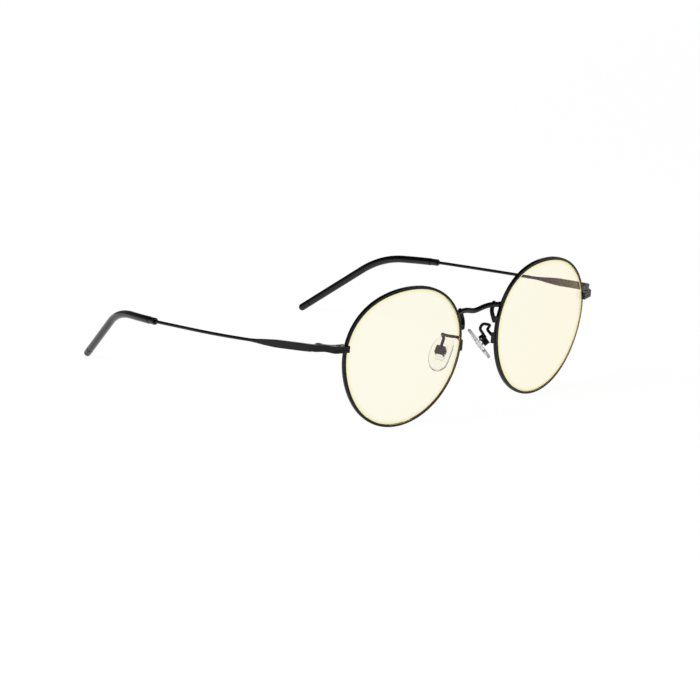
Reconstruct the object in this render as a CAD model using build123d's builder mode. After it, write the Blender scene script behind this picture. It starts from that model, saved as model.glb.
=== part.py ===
from build123d import *

import os
from math import cos, pi, radians, sin

# Round metal spectacles with lightly tinted lenses, in millimetres.
#
# Every piece is drawn in the front's own frame: X to the wearer's left, Y from the lenses back to
# the ears, Z up the lenses, origin midway between the two lens centres. Only the wearer's left half
# is drawn, and mirrored. The finished pieces are then leant back onto the table that they rest on:
# on the lower edge of the two rims and the ends of the two temple tips.

# ---- front ----
half_centres = 34.32  # lens centre to the middle of the nose
wrap = 6.8  # degrees that each lens is turned back at the temple side
lens_radius = 25.9  # mean radius of a rim's outer edge
# The rim is a soft panto: a circle with a slightly flatter top. Each pair is the share of
# cos(n t) and sin(n t) in its radius, for n = 2, 3, 4; t runs from the temple side over the top.
panto_shape = {2: (0.0049, -0.0057), 3: (0.0008, 0.0239), 4: (-0.0070, 0.0039)}
outline_points = 32
rim_width = 0.95
rim_depth = 1.3
rim_round = 0.28
groove_depth = 0.5
groove_half = 0.42
seat_gap = 0.02  # between a lens, or a soldered piece, and its seat

# ---- lenses ----
lens_front_radius = 132.0
lens_back_radius = 128.0
lens_front_vertex = 3.3  # front vertex, forward of the groove
lens_thickness = 1.8

# ---- bridge ----
bridge_half_depth = 0.78
bridge_half_height = 0.98
bridge_leg_radius = 0.78

# ---- endpieces, with the rim locks and the hinge forks ----
endpiece_top = 7.3
endpiece_bottom = 4.85
lock_split = 5.95  # height where the rim is cut and the lock's two blocks meet
lock_gap = 0.06
lock_reach = 64.0  # how far out the lower block goes
lock_screw_at = (62.2, 3.4)
hinge_at = (66.8, 8.6)
barrel_radius = 1.2
tongue_low, tongue_high = 5.64, 6.43
knuckle_gap = 0.03
hinge_shank = 0.60
running_gap = 0.03
butt_y = 9.45  # where the endpiece ends and the temple begins
butt_gap = 0.03

# ---- temples ----
blade_height = 2.8
blade_thickness = 1.15
wire_radius = 0.6
sleeve_radius = 1.4
collar_length = 3.2
cap_length = 5.4
tip_groove = 0.3
tip_joint = 88.7  # how far back the tip's sleeve begins
temple_corners = [(69.15, 9.1, 5.97), (73.0, 45.7, -0.15), (71.45, 92.5, -7.0), (66.83, 114.7, -10.62)]
temple_end = (54.77, 144.93, -37.39)  # centre of the tip's rounded end
temple_radii = [330.0, 110.0, 36.0]

# ---- nose pads ----
pad_centre = Vector(9.75, 5.4, -4.9)
pad_up = Vector(-0.59, 0.222, 0.776).normalized()  # along the pad, towards its top
pad_face = Vector(-0.68, 0.382, -0.626).normalized()  # out of the pad, towards the nose
pad_half = (4.3, 7.1)  # half width and half length of the pad
pad_flat = 3.5  # the front side of the pad is cut straight here
pad_thickness = 1.5
pad_back = 1.4  # rocking axis to the back of the pad
box_behind = 2.1  # pad's middle to the rocking axis
arm_radius = 0.55
arm_corners = [(8.2, -2.5, 0.5), (7.8, 0.0, 2.3), (11.4, 2.1, 2.9), (10.7, 5.3, 2.6), (9.4, 5.2, 0.9)]
arm_radii = [0.9, 1.3, 1.2, 0.9]

# ---- rest on the table ----
rest_tilt = 4.95  # degrees that the front leans back onto the rims and the tips
front_back, front_up = -72.25, 26.14  # from the table's origin to the front's

temporal = Vector(cos(radians(wrap)), sin(radians(wrap)), 0)
forward = Vector(sin(radians(wrap)), -cos(radians(wrap)), 0)
lens_plane = Plane(origin=(half_centres, 0, 0), x_dir=temporal, z_dir=forward)
standing = Location((0, front_back, front_up), (rest_tilt, 0, 0))

pieces = {}


def rim_radius(t, inset):
    """Distance of the rim's outer edge, moved in by inset, from the lens centre at angle t."""
    shape = sum(c * cos(n * t) + s * sin(n * t) for n, (c, s) in panto_shape.items())
    return lens_radius * (1 + shape) - inset


def rim_face(inset, height):
    """Face inside the rim's edge moved in by inset, at a height forward of the groove."""
    angles = [2 * pi * i / outline_points for i in range(outline_points)]
    points = [(rim_radius(t, inset) * cos(t), rim_radius(t, inset) * sin(t)) for t in angles]
    with BuildSketch(lens_plane.offset(height)) as face:
        with BuildLine():
            Spline(points, periodic=True)
        make_face()
    return face.sketch


def rim_plug(inset, half_depth):
    """Solid inside the rim's edge moved in by inset."""
    with BuildPart() as plug:
        extrude(rim_face(inset, -half_depth), amount=2 * half_depth)
    return plug.part


def rim_ridge(inset, apex, half_depth):
    """Solid inside a V-shaped edge: inset at both faces and apex midway between them."""
    with BuildPart() as ridge:
        loft([rim_face(inset, -half_depth), rim_face(apex, 0), rim_face(inset, half_depth)], ruled=True)
    return ridge.part


def keep_pair(piece, name):
    """Keep the wearer's left piece and its mirror image for the right."""
    with BuildPart() as twin:
        mirror(piece.part, about=Plane.YZ)
    pieces[f"{name}_left"] = piece
    pieces[f"{name}_right"] = twin


# ---- rim: a grooved wire round the lens, cut through at the lock ----
with BuildPart() as rim:
    add(rim_plug(0, rim_depth / 2))
    fillet(rim.edges(), rim_round)
    add(rim_plug(rim_width, rim_depth), mode=Mode.SUBTRACT)
    add(rim_ridge(rim_width, rim_width - groove_depth, groove_half), mode=Mode.SUBTRACT)
    with Locations((half_centres + lens_radius, 3, lock_split)):
        Box(6, 8, 0.2, mode=Mode.SUBTRACT)
keep_pair(rim, "rim")

# ---- lens: a meniscus whose edge is ground to a V that sits in the rim's groove ----
with BuildPart(lens_plane) as meniscus:
    with Locations((0, 0, lens_front_vertex - lens_front_radius)):
        Sphere(lens_front_radius)
    with Locations((0, 0, lens_front_vertex - lens_thickness - lens_back_radius)):
        Sphere(lens_back_radius, mode=Mode.SUBTRACT)
with BuildPart() as lens:
    add(rim_plug(rim_width + seat_gap, 5))
    add(meniscus.part, mode=Mode.INTERSECT)
    add(rim_ridge(rim_width + seat_gap, rim_width - groove_depth + 2 * seat_gap, groove_half - seat_gap))
keep_pair(lens, "lens")

# ---- bridge: a saddle bar with a leg at each end, soldered down the nose side of the rims ----
rim_seat = rim_plug(-seat_gap / 2, rim_depth / 2 + seat_gap)
rim_well = rim_plug(-seat_gap / 2, 6)

with BuildPart() as bridge_half:
    with BuildLine() as saddle:
        Spline([(0, -0.5, 10.9), (3.6, -0.8, 11.6), (7.4, -1.4, 12.1), (12.2, -2.2, 11.5)],
               tangents=[(1, 0, 0), (1, -0.2, -0.2)])
    with BuildSketch(Plane(origin=(0, -0.5, 10.9), x_dir=(0, 1, 0), z_dir=(1, 0, 0))):
        Ellipse(bridge_half_depth, bridge_half_height)
    sweep(path=saddle.line)
    with BuildLine() as leg:
        Spline([(8.5, -1.4, 12.65), (7.5, -1.7, 10.0), (7.55, -2.4, 8.0), (7.95, -2.8, 6.4)])
    with BuildSketch(Plane(origin=leg.line @ 0, z_dir=leg.line % 0)):
        Circle(bridge_leg_radius)
    sweep(path=leg.line)
    with Locations(leg.line @ 0, leg.line @ 1):
        Sphere(bridge_leg_radius)
    with Locations((8.9, -2.8, 6.9)):
        Box(2.2, 1.1, 2.0)
    add(rim_well, mode=Mode.SUBTRACT)
with BuildPart() as bridge:
    add(bridge_half.part)
    mirror(bridge_half.part, about=Plane.YZ)
pieces["bridge"] = bridge

# ---- endpiece: the lock's upper block, which runs back into the fork of the hinge ----


def endpiece_plan():
    """Endpiece from above: a block on the rim, a waist, and the end that the temple meets."""
    with BuildSketch(Plane.XY.offset(endpiece_bottom)) as plan:
        with BuildLine():
            Polyline((59.4, 4.3), (58.95, 0.85), (64.1, 2.45))
            Spline([(64.1, 2.45), (64.8, 3.6), (66.1, 6.2), (68.2, 7.35), (69.75, butt_y)])
            Polyline((69.75, butt_y), (68.45, butt_y), (67.9, 9.1))
            ThreePointArc((67.9, 9.1), (67.1, 9.762), (65.7, 9.08))
            Line((65.7, 9.08), (65.35, 7.6))
            Spline([(65.35, 7.6), (63.9, 5.9), (62.0, 4.85), (59.4, 4.3)])
        make_face()
    return plan.sketch


def round_slot(height, radius):
    """Cut a screwdriver slot across a screw head whose top is at the given height."""
    with Locations((0, 0, height)):
        Box(2 * radius, 0.28, 0.36, mode=Mode.SUBTRACT)


with BuildPart() as endpiece:
    extrude(endpiece_plan(), amount=endpiece_top - endpiece_bottom)
    # the lower block's place, and the gap between the blocks
    with Locations((lock_reach - 5, 2, endpiece_bottom - 1)):
        Box(10, 20, lock_split + lock_gap / 2 - endpiece_bottom + 1,
            align=(Align.CENTER, Align.CENTER, Align.MIN), mode=Mode.SUBTRACT)
    add(rim_seat, mode=Mode.SUBTRACT)
    # the fork's slot, open to the back so that the temple's tongue can swing in
    with BuildSketch(Plane.XY.offset(tongue_low - knuckle_gap)):
        with Locations(hinge_at):
            Circle(barrel_radius + 0.1)
        with Locations((66.65, 10.1)):
            Rectangle(3.1, 3)
    extrude(amount=tongue_high - tongue_low + 2 * knuckle_gap, mode=Mode.SUBTRACT)
    # screw holes: lock screw right through, hinge screw with its head let in
    with Locations((*lock_screw_at, endpiece_top)):
        CounterBoreHole(0.42, 0.74, 0.45, depth=3)
    with Locations((*hinge_at, endpiece_top)):
        CounterBoreHole(hinge_shank + 0.01, 0.92, 0.4, depth=3)
keep_pair(endpiece, "endpiece")

with BuildPart() as lock_block:
    extrude(endpiece_plan(), amount=lock_split - lock_gap / 2 - endpiece_bottom)
    with Locations((lock_reach - lock_gap, 0, 0)):
        Box(20, 40, 40, align=(Align.MIN, Align.CENTER, Align.CENTER), mode=Mode.SUBTRACT)
    add(rim_seat, mode=Mode.SUBTRACT)
    with Locations((*lock_screw_at, lock_split)):
        Hole(0.42, depth=1.1)
keep_pair(lock_block, "rim_lock_block")

for name, (x, y), head, shank, low in (("rim_lock_screw", lock_screw_at, 0.72, 0.41, 5.05),
                                       ("hinge_screw", hinge_at, 0.90, hinge_shank, 4.95)):
    with BuildPart(Plane(origin=(x, y, 0))) as screw:
        with Locations((0, 0, low)):
            Cylinder(shank, endpiece_top - low - 0.3, align=(Align.CENTER, Align.CENTER, Align.MIN))
        with Locations((0, 0, endpiece_top - 0.39)):
            Cylinder(head, 0.46, align=(Align.CENTER, Align.CENTER, Align.MIN))
        fillet(screw.edges().group_by(Axis.Z)[-1], 0.12)
        round_slot(endpiece_top + 0.07, 1.2)
    keep_pair(screw, name)

# ---- temple: a flat blade that narrows to a wire, which runs on inside the tip ----
with BuildLine() as temple_route:
    FilletPolyline(*temple_corners, temple_end, radius=temple_radii)
route = temple_route.wire()
route_length = route.length


def station(distance):
    """Section plane of the temple, X across its thickness and Y up, at a distance along it."""
    share = distance / route_length
    along = route % share
    across = along.cross(Vector(0, 0, 1)).normalized()
    return Plane(origin=route @ share, x_dir=across, z_dir=along)


tip_start = (tip_joint - temple_corners[0][1]) * 1.013
core_end = route_length - 2 * cap_length

with BuildPart() as blade:
    for distance, height, thickness in ((0, 2.66, 1.15), (6, 2.8, 1.15), (15, 2.8, 1.15), (22, 2.15, 1.15),
                                        (26.5, 1.45, 1.16), (30, 1.2, 1.2)):
        with BuildSketch(station(distance)):
            RectangleRounded(thickness, height, 0.24 if distance < 25 else 0.45)
    loft()
with BuildPart() as temple:
    add(blade.part)
    with BuildSketch(station(29.6)):
        Circle(wire_radius)
    sweep(path=route.trim(29.6 / route_length, core_end / route_length))
    with Locations((hinge_at[0], butt_y + butt_gap, 0)):
        Box(20, 10, 40, align=(Align.CENTER, Align.MAX, Align.CENTER), mode=Mode.SUBTRACT)
keep_pair(temple, "temple")

# ---- hinge tongue: a leaf on the blade's inner face with the middle knuckle of the hinge ----


def blade_bar(width, height):
    """Bar of a given section that follows the front of the blade."""
    with BuildPart() as bar:
        for distance in (0.3, 4, 8):
            with BuildSketch(station(distance)):
                Rectangle(width, height)
        loft()
    return bar.part


blade_room = blade_bar(blade_thickness + 2 * seat_gap, 6)
with BuildPart() as leaf:
    with BuildSketch():
        with BuildLine():
            Polyline((67.5, 10.2), (68.05, 9.75), (69.2, 9.75), (69.85, 15.0), (68.35, 15.0), (67.5, 10.2))
        make_face()
    extrude(amount=12)
    add(blade_room, mode=Mode.SUBTRACT)
    split(bisect_by=Plane(origin=(69.15, 9.1, 0), z_dir=(1, -0.105, 0)), keep=Keep.BOTTOM)
    add(blade_bar(6, blade_height - 0.7), mode=Mode.INTERSECT)
with BuildPart() as hinge_tongue:
    with BuildSketch(Plane.XY.offset(tongue_low)):
        with Locations(hinge_at):
            Circle(barrel_radius)
        with BuildLine():
            Polyline((66.2, 9.6), (67.95, 8.9), (67.95, 9.9), (68.3, 11.2), (67.5, 11.2), (66.2, 9.6))
        make_face()
    extrude(amount=tongue_high - tongue_low)
    add(blade_room, mode=Mode.SUBTRACT)
    with Locations((*hinge_at, tongue_high)):
        Hole(hinge_shank + running_gap, depth=2)
    add(leaf.part)
keep_pair(hinge_tongue, "hinge_tongue")

# ---- temple tip: a moulded sleeve, with a collar at its mouth and a cap at its end ----
collar_end = tip_start + collar_length
cap_start = route_length + sleeve_radius - cap_length


def sleeve(start, end, radius):
    """Round bar along the temple's route between two distances along it."""
    with BuildPart() as bar:
        with BuildSketch(station(start)):
            Circle(radius)
        sweep(path=route.trim(start / route_length, end / route_length))
    return bar.part


# each straight length of the tip: where it starts, how long it is, its radius
tip_lengths = [
    (tip_start, collar_length, sleeve_radius - 0.1),
    (collar_end - 0.1, tip_groove + 0.2, sleeve_radius - 0.25),
    (cap_start - tip_groove - 0.1, tip_groove + 0.2, sleeve_radius - 0.25),
    (cap_start, route_length - cap_start, sleeve_radius),
]
with BuildPart() as temple_tip:
    for start, length, radius in tip_lengths:
        with BuildSketch(station(start)):
            Circle(radius)
        extrude(amount=length)
    fillet(temple_tip.edges().sort_by(Axis.Y)[0], 0.3)
    with Locations(route @ 1):
        Sphere(sleeve_radius)
    add(sleeve(collar_end + tip_groove, cap_start - tip_groove, sleeve_radius))
    add(sleeve(tip_start - 0.1, core_end + 0.3, wire_radius + seat_gap), mode=Mode.SUBTRACT)
keep_pair(temple_tip, "temple_tip")

# ---- nose pad arm, box, screw, core and pad ----
rock_centre = pad_centre - pad_face * box_behind
rock_axis = pad_up.cross(pad_face)
pad_frame = Plane(origin=rock_centre, x_dir=rock_axis, z_dir=pad_face)
box_width, box_height, box_base, box_mouth, box_wall = 3.5, 3.2, -1.35, 0.85, 0.5

with BuildPart(pad_frame) as pad_box:
    with Locations((0, 0, (box_base + box_mouth) / 2)):
        Box(box_width, box_height, box_mouth - box_base)
    fillet(pad_box.edges().filter_by(Axis(rock_centre, pad_face)), 0.5)
    with Locations((0, 0, box_base + box_wall)):
        Box(box_width - 2 * box_wall, 2 * box_height, 5, align=(Align.CENTER, Align.CENTER, Align.MIN),
            mode=Mode.SUBTRACT)
    with Locations((0, 0, 0)):
        Cylinder(0.42, 2 * box_width, rotation=(0, 90, 0), mode=Mode.SUBTRACT)
keep_pair(pad_box, "pad_box")

# the stem's hole turns on the screw; its foot is the flange that the pad is moulded round
with BuildPart(pad_frame) as pad_core:
    with BuildSketch(Plane(origin=rock_centre, x_dir=pad_face, z_dir=rock_axis).offset(-1.1)):
        Circle(0.75)
        with Locations((0.95, 0)):
            Rectangle(1.9, 1.5)
    extrude(amount=2.2)
    with Locations((0, 0, 1.9)):
        Box(3.2, 5.4, 0.4)
    fillet(pad_core.faces().sort_by(Axis(rock_centre, pad_face))[-1].edges(), 0.1)
    with Locations((0, 0, 0)):
        Cylinder(0.45, 4, rotation=(0, 90, 0), mode=Mode.SUBTRACT)
keep_pair(pad_core, "pad_core")

with BuildPart(pad_frame) as pad_screw:
    Cylinder(0.41, box_width, rotation=(0, 90, 0))
    with Locations((box_width / 2 + 0.15, 0, 0)):
        Cylinder(0.72, 0.3, rotation=(0, 90, 0))
    with Locations((box_width / 2 + 0.3, 0, 0)):
        Box(0.3, 0.22, 2, mode=Mode.SUBTRACT)
keep_pair(pad_screw, "pad_screw")

with BuildPart() as nose_pad:
    with BuildSketch(pad_frame.offset(pad_back)) as pad_plan:
        Ellipse(*pad_half)
        with Locations((pad_flat, 0)):
            Rectangle(2, 20, align=(Align.MIN, Align.CENTER), mode=Mode.SUBTRACT)
        fillet(pad_plan.vertices(), 2.5)
    extrude(amount=pad_thickness)
    fillet(nose_pad.faces().sort_by(Axis(rock_centre, pad_face))[-1].edges(), 0.5)
    fillet(nose_pad.faces().sort_by(Axis(rock_centre, pad_face))[0].edges(), 0.3)
    add(pad_core.part, mode=Mode.SUBTRACT)
keep_pair(nose_pad, "nose_pad")

with BuildPart() as box_blank:
    with BuildSketch(pad_frame.offset(box_base)):
        RectangleRounded(box_width, box_height, 0.5)
    extrude(amount=box_mouth - box_base)
arm_end = rock_centre + pad_face * (box_base + 0.2) + pad_up * 0.6
with BuildPart() as pad_arm:
    with BuildLine() as arm_route:
        FilletPolyline(*arm_corners, arm_end, radius=arm_radii)
    with BuildSketch(Plane(origin=arm_route.wire() @ 0, z_dir=arm_route.wire() % 0)):
        Circle(arm_radius)
    sweep(path=arm_route.wire())
    with Locations((8.2, -2.75, 0)):
        Box(1.4, 1.0, 4.0)
    add(rim_seat, mode=Mode.SUBTRACT)
    add(box_blank.part, mode=Mode.SUBTRACT)
keep_pair(pad_arm, "pad_arm")

# ---- stand every piece on the table and write it ----
os.makedirs("parts", exist_ok=True)
for name, piece in pieces.items():
    piece.part.locate(standing)
    piece.part.label = name
    export_step(piece.part, f"parts/{name}.step")
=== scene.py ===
import functools
import logging
from dataclasses import dataclass
from enum import Enum
from math import cos, pi, radians, sin
from typing import Any

import bpy
import numpy as np
from mathutils import Matrix, Vector


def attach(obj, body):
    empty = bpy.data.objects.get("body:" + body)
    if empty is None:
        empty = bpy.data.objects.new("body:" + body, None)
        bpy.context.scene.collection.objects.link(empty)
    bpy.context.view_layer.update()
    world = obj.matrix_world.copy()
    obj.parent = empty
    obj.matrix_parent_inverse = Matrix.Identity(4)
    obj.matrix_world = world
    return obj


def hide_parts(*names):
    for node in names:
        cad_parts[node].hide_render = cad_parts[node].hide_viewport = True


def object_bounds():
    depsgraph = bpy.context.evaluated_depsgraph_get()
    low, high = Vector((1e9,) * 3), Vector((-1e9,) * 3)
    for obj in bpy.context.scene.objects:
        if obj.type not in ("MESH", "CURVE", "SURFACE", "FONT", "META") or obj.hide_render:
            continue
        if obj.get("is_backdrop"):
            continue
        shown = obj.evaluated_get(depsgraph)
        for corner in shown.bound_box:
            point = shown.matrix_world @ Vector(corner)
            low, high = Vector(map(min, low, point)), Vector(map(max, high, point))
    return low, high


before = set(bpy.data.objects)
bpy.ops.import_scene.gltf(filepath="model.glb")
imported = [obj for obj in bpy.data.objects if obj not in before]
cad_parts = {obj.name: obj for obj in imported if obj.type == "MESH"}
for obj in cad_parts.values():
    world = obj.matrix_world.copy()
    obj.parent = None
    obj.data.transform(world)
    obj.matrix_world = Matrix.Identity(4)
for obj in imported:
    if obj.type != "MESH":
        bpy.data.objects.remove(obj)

# Round metal spectacles with lightly tinted lenses.
#
# Shapes are worked out in millimetres in the front's own frame: X to the wearer's left, Y from the
# lenses back to the ears, Z up the lenses, origin midway between the lens centres. The wearer's left
# is worked out, and mirrored for the right. Stance then leans the front back onto the table.

Array = np.ndarray
log = logging.getLogger("spectacles")
MM = 0.001
SOLDER_ROUND = 0.2  # mm, radius of a soldered foot's upright edges
ALONG_Y, ALONG_Z = np.array([0, 1.0, 0]), np.array([0, 0, 1.0])


# ---- where things are

class Side(Enum):
    """The wearer's left or right, as the sign of X."""

    LEFT = 1
    RIGHT = -1

    def named(self, piece: str) -> str:
        """Name of this side's copy of a piece."""
        return f"{piece}_{self.name.lower()}"


@dataclass(frozen=True)
class Stance:
    """The front leans back onto the lower edge of its rims and the ends of its tips."""

    lean: float = 4.95  # degrees
    back: float = -72.25
    up: float = 26.14

    def turn(self) -> Array:
        """Rotation about X by the lean."""
        c, s = cos(radians(self.lean)), sin(radians(self.lean))
        return np.array([[1, 0, 0], [0, c, -s], [0, s, c]])

    def place(self, points: Array, side: Side) -> Array:
        """Points of the wearer's left, put on one side and stood on the table.

        Args:
            points: array (n, 3), millimetres, front frame.
            side: RIGHT mirrors the points in the plane between the lenses.

        Returns:
            Array (n, 3), metres, in the frame's coordinates.
        """
        sided = points * np.array([side.value, 1, 1])
        return (sided @ self.turn().T + [0, self.back, self.up]) * MM


STANCE = Stance()


# ---- surfaces as arrays

@dataclass
class Shell:
    """A closed surface: its points, its quads and triangles, and how near each point is to an edge."""

    points: Array
    quads: Array
    tris: Array
    edge: Array

    def volume(self) -> float:
        """Six times the signed volume: the triple products of every face, added up."""
        halves = np.concatenate([self.quads[:, [0, 1, 2]], self.quads[:, [0, 2, 3]], self.tris])
        a, b, c = (self.points[halves[:, i]] for i in range(3))
        return float(np.einsum("ij,ij->", a, np.cross(b, c)))

    def outward(self) -> "Shell":
        """The same surface with its faces turned outwards."""
        if self.volume() < 0:
            return Shell(self.points, self.quads[:, ::-1], self.tris[:, ::-1], self.edge)
        return self

    def on(self, points: Array) -> "Shell":
        """The same faces on other points."""
        return Shell(points, self.quads, self.tris, self.edge)

    def placed(self, side: Side) -> "Shell":
        """The surface on one side of the glasses, in the frame's metres."""
        return self.on(STANCE.place(self.points, side)).outward()


def skin(grid: Array, edge: Array | None = None) -> Shell:
    """Closes a grid of points into a shell.

    Each row is a closed ring, joined to the next row by quads. The first and last rings are closed
    by a fan of triangles to their middle.

    Args:
        grid: array (rows, ring, 3).
        edge: array (rows, ring), 1 on a sharp or worn edge, or None.

    Returns:
        The shell, with its faces outwards.
    """
    rows, ring = grid.shape[:2]
    index = np.arange(rows * ring).reshape(rows, ring)
    over, beyond = index[:-1], index[1:]
    quads = np.stack([over, np.roll(over, -1, 1), np.roll(beyond, -1, 1), beyond], -1).reshape(-1, 4)
    points = np.concatenate([grid.reshape(-1, 3), grid[[0, -1]].mean(1)])
    worn = np.zeros(rows * ring) if edge is None else edge.reshape(-1).astype(float)
    first, last = index[0], index[-1]
    near = np.stack([np.roll(first, -1), first, np.full(ring, rows * ring)], -1)
    far = np.stack([last, np.roll(last, -1), np.full(ring, rows * ring + 1)], -1)
    return Shell(points, quads, np.concatenate([near, far]), np.append(worn, [0.0, 0.0])).outward()


def united(shells: list[Shell]) -> Shell:
    """Several shells as one set of faces, each still closed."""
    shift = np.cumsum([0] + [len(s.points) for s in shells[:-1]])
    return Shell(np.concatenate([s.points for s in shells]),
                 np.concatenate([s.quads + n for s, n in zip(shells, shift)]),
                 np.concatenate([s.tris + n for s, n in zip(shells, shift)]),
                 np.concatenate([s.edge for s in shells]))


def plain_mesh(name: str, shell: Shell) -> bpy.types.Mesh:
    """Puts a shell's arrays into a new mesh with smooth faces."""
    mesh = bpy.data.meshes.new(name)
    corners = np.concatenate([shell.quads.ravel(), shell.tris.ravel()]).astype(np.int32)
    quads, tris = len(shell.quads), len(shell.tris)
    starts = np.concatenate([4 * np.arange(quads), 4 * quads + 3 * np.arange(tris)]).astype(np.int32)
    mesh.vertices.add(len(shell.points))
    mesh.loops.add(len(corners))
    mesh.polygons.add(quads + tris)
    mesh.vertices.foreach_set("co", shell.points.astype(np.float32).ravel())
    mesh.loops.foreach_set("vertex_index", corners)
    mesh.polygons.foreach_set("loop_start", starts)
    mesh.update(calc_edges=True)
    mesh.validate()
    mesh.attributes.new("edge", "FLOAT", "POINT").data.foreach_set("value", shell.edge.astype(np.float32))
    mesh.polygons.foreach_set("use_smooth", np.ones(len(mesh.polygons), bool))
    return mesh


def added(name: str, data: bpy.types.ID) -> bpy.types.Object:
    """A new object in the scene."""
    made = bpy.data.objects.new(name, data)
    bpy.context.scene.collection.objects.link(made)
    return made


def read_mesh(mesh: bpy.types.Mesh) -> Shell:
    """A mesh's triangles as a shell, with the points that lie on each other merged."""
    mesh.calc_loop_triangles()
    points = np.empty(3 * len(mesh.vertices), np.float32)
    tris = np.empty(3 * len(mesh.loop_triangles), np.int32)
    mesh.vertices.foreach_get("co", points)
    mesh.loop_triangles.foreach_get("vertices", tris)
    merged, where = np.unique(points.reshape(-1, 3).round(7), axis=0, return_inverse=True)
    tris = where.reshape(-1)[tris].reshape(-1, 3)
    whole = (tris[:, 0] != tris[:, 1]) & (tris[:, 1] != tris[:, 2]) & (tris[:, 2] != tris[:, 0])
    return Shell(merged.astype(float), np.empty((0, 4), int), tris[whole], np.zeros(len(merged)))


def fused(shell: Shell, grain: float, rounds: int) -> Shell:
    """Fuses the shells in one set of faces into a single skin with soft inner and outer corners.

    The skin is remeshed on a cubic grid and its corners are then relaxed, as solder and lacquer
    round them off.

    Args:
        shell: closed shells, which may overlap, in millimetres.
        grain: side of the grid's cubes, millimetres.
        rounds: how many times the corners are relaxed.

    Returns:
        The fused shell, in millimetres.
    """
    rough = added("fusing", plain_mesh("fusing", shell))
    remesh = rough.modifiers.new("fuse", "REMESH")
    remesh.mode = "VOXEL"
    remesh.voxel_size = grain
    relax = rough.modifiers.new("relax", "SMOOTH")
    relax.factor = 0.5
    relax.iterations = rounds
    whole = bpy.data.meshes.new_from_object(rough.evaluated_get(bpy.context.evaluated_depsgraph_get()))
    points = np.empty(3 * len(whole.vertices), np.float32)
    corners = np.empty(len(whole.loops), np.int32)
    whole.vertices.foreach_get("co", points)
    whole.loops.foreach_get("vertex_index", corners)
    made = Shell(points.reshape(-1, 3).astype(float), corners.reshape(-1, 4),
                 np.empty((0, 3), int), np.zeros(len(whole.vertices)))
    bpy.data.objects.remove(rough)
    bpy.data.meshes.remove(whole)
    return made.outward()


def eased(x: Array, knots: Array, values: Array) -> Array:
    """Smooth curve through given values that never overshoots them.

    Between two knots it is a cubic whose slope at each knot is the harmonic mean of the slopes on
    both sides, or zero where they differ in sign. Before the first knot and after the last it is level.
    """
    step, rise = np.diff(knots), np.diff(values) / np.diff(knots)
    product = rise[:-1] * rise[1:]
    middle = np.where(product > 0, 2 * product / np.where(product > 0, rise[:-1] + rise[1:], 1), 0)
    slope = np.concatenate([[0], middle, [0]])
    x = np.clip(x, knots[0], knots[-1])
    i = np.clip(np.searchsorted(knots, x, side="right") - 1, 0, len(step) - 1)
    t, h = (x - knots[i]) / step[i], step[i]
    return ((2 * t**3 - 3 * t**2 + 1) * values[i] + (t**3 - 2 * t**2 + t) * h * slope[i]
            + (3 * t**2 - 2 * t**3) * values[i + 1] + (t**3 - t**2) * h * slope[i + 1])


# ---- paths and sections

@dataclass(frozen=True)
class Route:
    """A wire's path: straight runs between corners, each corner rounded by a tangent arc."""

    corners: tuple[tuple[float, float, float], ...]
    radii: tuple[float, ...]

    def _spans(self) -> tuple[Array, Array, Array, Array, Array]:
        """Start, heading, inward direction, radius and length of each run and arc, in turn."""
        corners = np.array(self.corners, float)
        steps = np.diff(corners, axis=0)
        lengths = np.linalg.norm(steps, axis=1)
        heading = steps / lengths[:, None]
        before, after = heading[:-1], heading[1:]
        turn = np.arccos(np.clip((before * after).sum(1), -1, 1))
        trim = np.array(self.radii) * np.tan(turn / 2)
        inward = (after - before * np.cos(turn)[:, None]) / np.sin(turn)[:, None]
        trimmed = lengths - np.append(0, trim) - np.append(trim, 0)
        count = 2 * len(lengths) - 1
        start, head, side = (np.zeros((count, 3)) for _ in range(3))
        radius, length = np.full(count, np.inf), np.zeros(count)
        start[0::2] = corners[:-1] + heading * np.append(0, trim)[:, None]
        start[1::2] = corners[1:-1] - before * trim[:, None]
        head[0::2], head[1::2], side[1::2] = heading, before, inward
        radius[1::2], length[0::2], length[1::2] = self.radii, trimmed, np.array(self.radii) * turn
        return start, head, side, radius, length

    def length(self) -> float:
        """Length along the runs and arcs."""
        return float(self._spans()[4].sum())

    def at(self, distance: Array) -> tuple[Array, Array]:
        """Points and headings at distances along the route; it runs straight on past its ends.

        On an arc of radius r, at angle a, the point is r sin(a) along the heading and r (1 - cos(a))
        inwards from the arc's start.
        """
        start, head, side, radius, length = self._spans()
        begins = np.append(0, np.cumsum(length)[:-1])
        i = np.clip(np.searchsorted(begins, distance, side="right") - 1, 0, len(begins) - 1)
        local = distance - begins[i]
        curved = np.isfinite(radius[i])
        r = np.where(curved, radius[i], 1.0)
        angle = np.where(curved, local / r, 0.0)
        forth = np.where(curved, r * np.sin(angle), local)
        points = start[i] + head[i] * forth[:, None] + side[i] * (r * (1 - np.cos(angle)))[:, None]
        heads = head[i] * np.cos(angle)[:, None] + side[i] * np.sin(angle)[:, None]
        return points, heads


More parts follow.
